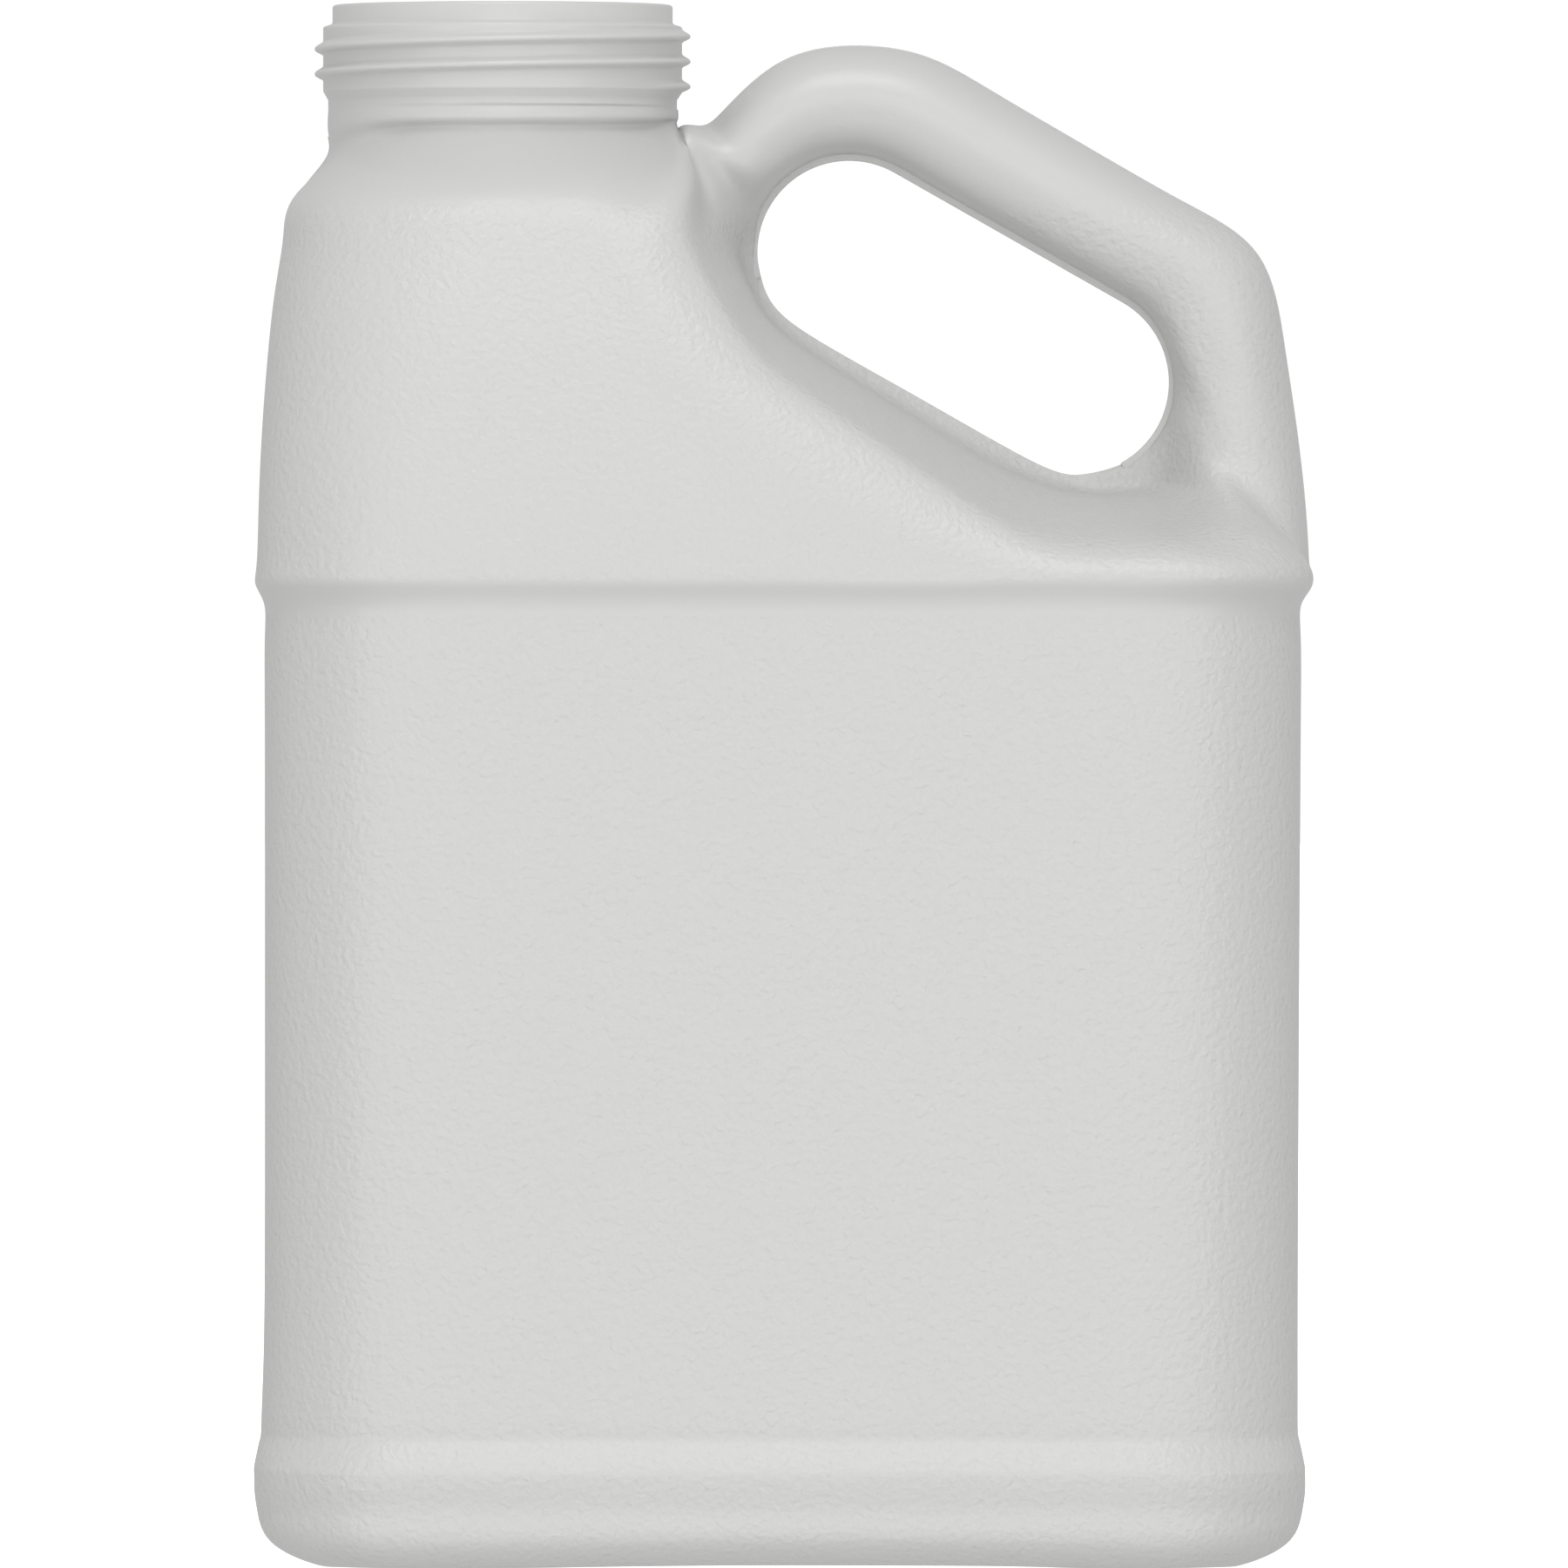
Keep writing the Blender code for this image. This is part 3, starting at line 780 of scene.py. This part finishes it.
@dataclass
class ScrewNeck:
    """The neck's screw finish: a lip, a land with one rounded thread, and the bore."""

    centre_x: float = -46.65
    steps: int = 160
    row_height: float = 0.25
    foot_z: float = 240.9
    foot_r: float = 28.92
    step_low_z: float = 242.1
    step_high_z: float = 243.4
    land_r: float = 29.75
    land_top_z: float = 253.9
    lip_r: float = 28.2
    lip_z: float = 254.6
    rim_z: float = 257.7
    rim_round: float = 0.5
    bore_r: float = 26.8
    bore_middle_z: float = 250.0
    bore_foot_r: float = 27.6

    # How far each corner of the outline is cut, across and up
    step_low_cut: Flat = (0.1, 0.2)
    step_high_cut: Flat = (0.1, 0.15)
    crown_cut: Flat = (0.15, 0.2)
    lip_low_cut: Flat = (0.2, 0.1)
    lip_high_cut: float = 0.2
    land_margin: float = 0.3

    pitch: float = 4.15
    start_z: float = 244.2
    turns: Flat = (-42.0, 768.0)
    fade: float = 35.0
    thread_height: float = 1.4
    crest_up: float = 0.1
    crest_down: float = 0.2
    flank_up: float = 1.3
    flank_down: float = 1.15

    def profile(self) -> list[Flat]:
        """Give the outline of the neck's wall, up its outside, over the lip and down the bore."""
        count = round((self.land_top_z - self.step_high_z) / self.row_height)
        land = [(self.land_r, z) for z in np.linspace(self.step_high_z, self.land_top_z, count + 1)]
        turns = np.radians((0, 30, 60, 90))
        size = self.rim_round
        outer, inner, low = self.lip_r - size, self.bore_r + size, self.rim_z - size
        lip = [(outer + size * math.cos(t), low + size * math.sin(t)) for t in turns]
        edge = [(inner - size * math.cos(t), low + size * math.sin(t)) for t in turns[::-1]]
        foot = [
            (self.foot_r, self.foot_z),
            (self.foot_r, self.step_low_z - self.step_low_cut[1]),
            (self.foot_r + self.step_low_cut[0], self.step_low_z),
            (self.land_r - self.step_high_cut[0], self.step_high_z - self.step_high_cut[1]),
        ]
        crown = [
            (self.land_r - self.crown_cut[0], self.land_top_z + self.crown_cut[1]),
            (self.lip_r + self.lip_low_cut[0], self.lip_z - self.lip_low_cut[1]),
            (self.lip_r, self.lip_z + self.lip_high_cut),
        ]
        bore = [
            (self.bore_r, self.bore_middle_z),
            (self.bore_r, self.step_high_z),
            (self.bore_foot_r, self.foot_z),
        ]
        return foot + land + crown + lip + edge + bore

    def thread(self, angle: np.ndarray, z: np.ndarray) -> np.ndarray:
        """Give how far the thread stands out.

        Args:
            angle: Degrees round the neck, from the side of the handle towards the back.
            z: Heights.

        Returns:
            The thread's height over the land at each place.
        """
        out = np.zeros_like(z)
        for turn in range(-1, 3):
            along = angle + 360 * turn
            above = z - (self.start_z + self.pitch * along / 360)
            flank = np.where(
                above > 0,
                1 - smooth_step(self.crest_up, self.flank_up, above),
                1 - smooth_step(self.crest_down, self.flank_down, -above),
            )
            ends = np.minimum(along - self.turns[0], self.turns[1] - along)
            out = np.maximum(out, self.thread_height * flank * smooth_step(0.0, self.fade, ends))
        return out

    def build(self) -> bpy.types.Object:
        """Spin the profile round the neck's axis and raise the thread on it."""
        profile = self.profile()
        points = [(self.centre_x + r, 0.0, z) for r, z in profile]
        links = [(i, i + 1) for i in range(len(points) - 1)]
        neck = new_mesh("screw_neck", points, links, [])
        with editing(neck):
            bpy.ops.mesh.select_all(action="SELECT")
            bpy.ops.mesh.spin(
                steps=self.steps, angle=2 * math.pi, center=(self.centre_x * MM, 0, 0), axis=(0, 0, 1),
                use_auto_merge=True,
            )
            bpy.ops.mesh.select_all(action="SELECT")
            bpy.ops.mesh.remove_doubles(threshold=SAME_PLACE)
            bpy.ops.mesh.normals_make_consistent(inside=False)
        at = places(neck)
        away = at[:, :2] - (self.centre_x, 0.0)
        radius = np.hypot(away[:, 0], away[:, 1])
        angle = np.degrees(np.arctan2(away[:, 1], away[:, 0])) % 360
        below_crown = at[:, 2] < self.land_top_z + self.land_margin
        on_land = (radius > self.land_r - self.land_margin) & below_crown
        grown = 1 + np.where(on_land, self.thread(angle, at[:, 2]), 0.0) / radius
        at[:, :2] = (self.centre_x, 0.0) + away * grown[:, None]
        put(neck, at)
        return neck


@dataclass
class PinchOffRim:
    """The flat rim along the hand hole, where the mould pinches the handle's walls together."""

    body: JugBody
    finish: NaturalPolyethylene
    width: float = 3.0
    half_thickness: float = 0.8
    start: float = -62.0
    end: float = 196.0
    step: float = 4.0
    edge_round: float = 0.3

    def outline(self, radius: float) -> list[Flat]:
        """Give a line round the hole's right end, over its top and round its left end."""
        slant = self.body.hole_slant
        ends = (self.body.hole_right, self.start, slant), (self.body.hole_left, slant, self.end)
        points = []
        for (x, z), start, end in ends:
            for angle in np.linspace(start, end, round((end - start) / self.step) + 1):
                turn = math.radians(angle)
                points.append((x + radius * math.cos(turn), z + radius * math.sin(turn)))
        return points

    def build(self) -> bpy.types.Object:
        """Extrude the strip between the hole's edge and the handle's tube."""
        near = self.outline(self.body.hole_r)
        far = self.outline(self.body.hole_r + self.width)
        count = len(near)
        points = [(x, -self.half_thickness, z) for x, z in near + far]
        faces = [(i, i + 1, count + i + 1, count + i) for i in range(count - 1)]
        rim = new_mesh("pinch_off_rim", points, [], faces)
        with editing(rim, "FACE"):
            bpy.ops.mesh.select_all(action="SELECT")
            bpy.ops.mesh.extrude_region_move(
                TRANSFORM_OT_translate={"value": (0.0, 2 * self.half_thickness * MM, 0.0)}
            )
            bpy.ops.mesh.select_all(action="SELECT")
            bpy.ops.mesh.normals_make_consistent(inside=False)
        apply_modifier(rim, "BEVEL", width=self.edge_round * MM, segments=2, limit_method="ANGLE")
        return dressed(rim, self.finish, grain=0.0)


@dataclass
class PartingLine:
    """The fine ridge that the two mould halves leave all round the jug."""

    body: JugBody
    finish: NaturalPolyethylene
    ridge_r: float = 0.22
    in_plane: float = 1e-3
    lowest_z: float = 3.0
    highest_z: float = 236.0
    nearest_x: float = -22.0
    hole_gap: float = 3.0

    def build(self, skin: bpy.types.Object) -> bpy.types.Object:
        """Draw a thin round ridge along the skin's edges that lie in the parting plane.

        Args:
            skin: The jug's outside, before its inner wall is joined to it.

        Returns:
            The ridge.
        """
        at = places(skin)
        kept: dict[int, int] = {}
        points, edges = [], []
        for edge in skin.data.edges:
            ends = tuple(edge.vertices)
            if all(self.wanted(at[i]) for i in ends):
                for i in ends:
                    if i not in kept:
                        kept[i] = len(points)
                        points.append((at[i][0], 0.0, at[i][2]))
                edges.append(tuple(kept[i] for i in ends))
        ridge = new_mesh("parting_line", points, edges, [])
        only(ridge)
        bpy.ops.object.convert(target="CURVE")
        ridge.data.bevel_depth = self.ridge_r * MM
        ridge.data.bevel_resolution = 1
        ridge.data.use_fill_caps = True
        bpy.ops.object.convert(target="MESH")
        return dressed(ridge, self.finish, grain=0.0)

    def wanted(self, place: np.ndarray) -> bool:
        """Tell whether the ridge runs through a place.

        Args:
            place: The place, in millimetres.

        Returns:
            Whether it is in the parting plane, off the ground, the neck and the hand hole.
        """
        x, y, z = place
        (left, high), (right, low) = self.body.hole_left, self.body.hole_right
        run, drop = right - left, low - high
        part = ((x - left) * run + (z - high) * drop) / (run**2 + drop**2)
        part = min(max(part, 0.0), 1.0)
        away = math.hypot(x - left - part * run, z - high - part * drop)
        off_hole = away > self.body.hole_r + self.hole_gap
        off_neck = x > self.nearest_x or z < self.highest_z
        return abs(y) < self.in_plane and z > self.lowest_z and off_hole and off_neck


def dressed(
    piece: bpy.types.Object,
    finish: NaturalPolyethylene,
    grain: float | np.ndarray,
    crease: float = 40.0,
) -> bpy.types.Object:
    """Give a piece the jug's finish and tie it to the body.

    Args:
        piece: The piece.
        finish: Its finish.
        grain: How strong the mould's grain is on it, in all or point by point.
        crease: The angle between faces, in degrees, from which an edge stays sharp.

    Returns:
        The piece.
    """
    values = piece.data.attributes.new(finish.grain_mask, "FLOAT", "POINT")
    values.data.foreach_set("value", np.full(len(piece.data.vertices), grain))
    piece.data.materials.clear()
    piece.data.materials.append(finish.material())
    only(piece)
    bpy.ops.object.shade_smooth_by_angle(angle=math.radians(crease))
    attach(piece, BODY)
    return piece


@dataclass
class JugSkin:
    """The whole skin: the blown body and its neck, joined to one closed shell."""

    body: JugBody
    neck: ScrewNeck
    finish: NaturalPolyethylene
    band_low: Flat = (155.8, 156.8)
    band_high: Flat = (161.4, 162.6)
    shoulder: Flat = (221.0, 226.0)
    smooth_share: float = 0.15
    crease: float = 50.0

    def build(self, skin: bpy.types.Object) -> bpy.types.Object:
        """Close the skin and dress it.

        Args:
            skin: The outside, open at the top of the neck.

        Returns:
            The finished piece.
        """
        inner = self.body.inner_wall()
        neck = self.neck.build()
        only(skin)
        inner.select_set(True)
        neck.select_set(True)
        bpy.ops.object.join()
        middle_r = (self.neck.foot_r + self.neck.bore_foot_r) / 2 * MM
        centre = Vector((self.neck.centre_x * MM, 0.0))
        for outside in (True, False):
            with editing(skin, "EDGE"):
                count = select_open_edges(
                    skin, lambda at: ((at.xy - centre).length > middle_r) == outside
                )
                LOG.info("bridging %d open edges", count)
                bpy.ops.mesh.bridge_edge_loops()
        dressed(skin, self.finish, self.grain(skin), self.crease)
        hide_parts(NODE)
        return skin

    def grain(self, skin: bpy.types.Object) -> np.ndarray:
        """Give where the mould's grain is: on the panels, and faintly above the shoulder."""
        z = places(skin)[:, 2]
        band = smooth_step(*self.band_low, z) * (1 - smooth_step(*self.band_high, z))
        top = smooth_step(*self.shoulder, z)
        return (1 - band) * (1 - top * (1 - self.smooth_share))


@dataclass
class Studio:
    """A light table, soft lights and the camera in front of the jug.

    Its sizes are in metres, but for the camera's sensor. Each lamp has a name, the degrees
    that it hangs above the camera's height and to the side of the camera, and its watts.
    """

    camera_distance: float = 5.0
    camera_height: float = 0.1286
    view_width: float = 0.25992
    sensor: float = 36.0
    sight: float = 100.0
    table_half: float = 60.0
    lamp_distance: float = 2.2
    lamp_size: float = 1.2
    lamps: tuple = (
        ("low_front", -35.0, 0.0, 3.6),
        ("front", 0.0, 0.0, 6.1),
        ("front_left", 0.0, -35.0, 5.1),
        ("front_right", 0.0, 35.0, 5.1),
        ("raised_front", 44.0, 0.0, 5.7),
        ("high_front", 66.0, 0.0, 9.9),
    )
    surround: float = 0.625
    backdrop: float = 1.05

    def camera(self) -> bpy.types.Object:
        """Put the camera level with the middle of the jug, far in front of it."""
        data = bpy.data.cameras.new("camera")
        data.sensor_width = self.sensor
        data.lens = self.sensor * self.camera_distance / self.view_width
        data.clip_end = self.sight
        camera = bpy.data.objects.new("camera", data)
        bpy.context.scene.collection.objects.link(camera)
        camera.location = (0.0, -self.camera_distance, self.camera_height)
        camera.rotation_euler = (math.pi / 2, 0.0, 0.0)
        bpy.context.scene.camera = camera
        return camera

    def table(self) -> bpy.types.Object:
        """Lay the light table that the jug stands on."""
        half = self.table_half / MM
        corners = [(-half, -half, 0.0), (half, -half, 0.0), (half, half, 0.0), (-half, half, 0.0)]
        table = new_mesh("light_table", corners, [], [(0, 1, 2, 3)])
        table.data.materials.append(LitAcrylic().material())
        table.visible_diffuse = False
        table.visible_glossy = False
        table.visible_shadow = False
        return table

    def light(self, name: str, place: Point, size: float, power: float) -> bpy.types.Object:
        """Hang a square soft light that looks at the jug.

        Args:
            name: The light's name.
            place: Where it hangs, in metres.
            size: Its side, in metres.
            power: Its power, in watts.

        Returns:
            The light.
        """
        data = bpy.data.lights.new(name, "AREA")
        data.shape = "SQUARE"
        data.size = size
        data.energy = power
        light = bpy.data.objects.new(name, data)
        bpy.context.scene.collection.objects.link(light)
        light.visible_camera = False
        light.location = place
        towards = Vector((0.0, 0.0, self.camera_height)) - light.location
        light.rotation_euler = towards.to_track_quat(Axis.FORWARD.value, Axis.UP.value).to_euler()
        return light

    def lights(self) -> None:
        """Hang the lamps on a dome round the jug."""
        for name, height, turn, power in self.lamps:
            rise, swing = math.radians(height), math.radians(turn)
            out = self.lamp_distance * math.cos(rise)
            up = self.camera_height + self.lamp_distance * math.sin(rise)
            place = (out * math.sin(swing), -out * math.cos(swing), up)
            self.light(name, place, self.lamp_size, power)

    def surroundings(self) -> bpy.types.World:
        """Make the studio white to the eye and grey to the jug."""
        world = bpy.data.worlds.new("studio")
        world.use_nodes = True
        tree = world.node_tree
        tree.nodes.clear()
        seen = add_node(tree, "ShaderNodeLightPath", {}, {}).outputs["Is Camera Ray"]
        white = (1, 1, 1, 1)
        lit = add_node(tree, "ShaderNodeBackground", {"Color": white, "Strength": self.surround}, {})
        shown = add_node(tree, "ShaderNodeBackground", {"Color": white, "Strength": self.backdrop}, {})
        mixed = add_node(
            tree, "ShaderNodeMixShader", {}, {0: seen, 1: lit.outputs[0], 2: shown.outputs[0]}
        )
        add_node(tree, "ShaderNodeOutputWorld", {}, {"Surface": mixed.outputs[0]})
        bpy.context.scene.world = world
        return world

    def build(self) -> None:
        """Set the whole studio up."""
        self.camera()
        self.table()
        self.lights()
        self.surroundings()
        bpy.context.scene.view_settings.view_transform = "Standard"


def main() -> None:
    """Build the studio and the jug, and log how many triangles each piece came out with."""
    logging.basicConfig(level=logging.INFO, format="%(name)s: %(message)s")
    Studio().build()
    body, finish = JugBody(), NaturalPolyethylene()
    outside = body.surface("jug_skin", body.fine_level)
    pieces = [PartingLine(body, finish).build(outside), PinchOffRim(body, finish).build()]
    pieces.append(JugSkin(body, ScrewNeck(), finish).build(outside))
    for piece in pieces:
        triangles = sum(len(face.vertices) - 2 for face in piece.data.polygons)
        LOG.info("%s: %d triangles", piece.name, triangles)


if __name__ == "__main__":
    main()
